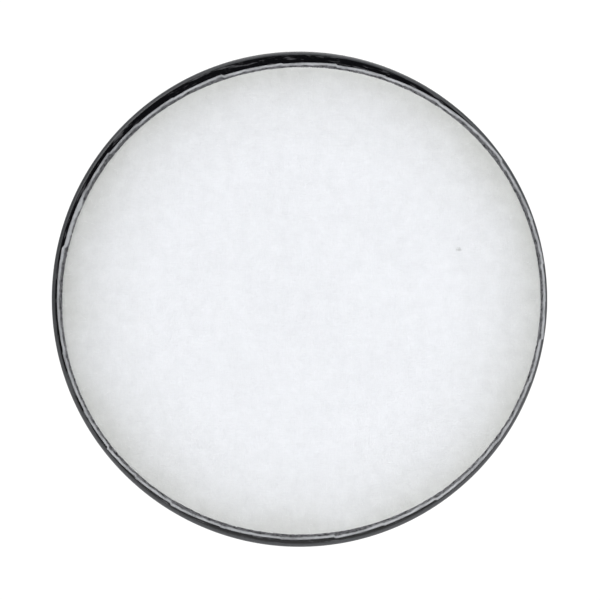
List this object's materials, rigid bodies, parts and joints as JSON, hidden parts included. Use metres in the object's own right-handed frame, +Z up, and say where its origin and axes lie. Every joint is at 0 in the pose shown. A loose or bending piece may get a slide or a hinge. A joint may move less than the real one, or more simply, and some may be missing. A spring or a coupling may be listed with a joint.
{
  "type": "felt polishing wheel",
  "caption": "Round white felt pad glued to a black plastic backing disc, with a threaded metal hub behind, for polishing stones on the end of a spinning arbor.",
  "frame": {"origin": "on the wheel's axis, in the plane of the bush's rear seat, at the mouth of the arbor thread", "axes": "+Y along the wheel's axis from the felt's face towards the bush, so the felt faces -Y; +Z up, and +X to the right of someone who looks at the felt"},
  "size_m": [0.1524, 0.0466, 0.1524],
  "materials": {
    "wool_felt": "dense pressed wool felt, faintly mottled",
    "clear_film": "clear double-sided film, whitish at its cut edge",
    "black_plastic": "glossy",
    "turned_steel": "turned",
    "turned_aluminium": "turned",
    "zinc_steel": "bright zinc plated",
    "nylon": "moulded"
  },
  "bodies": {
    "root": {"felt_pad": "wool_felt", "adhesive_film": "clear_film", "backing_plate": "black_plastic", "threaded_bush": "turned_steel", "hub_flange": "turned_aluminium", "plate_screws": "zinc_steel", "washers": "zinc_steel", "lock_nuts": "zinc_steel", "nut_inserts": "nylon"}
  },
  "joints": []
}
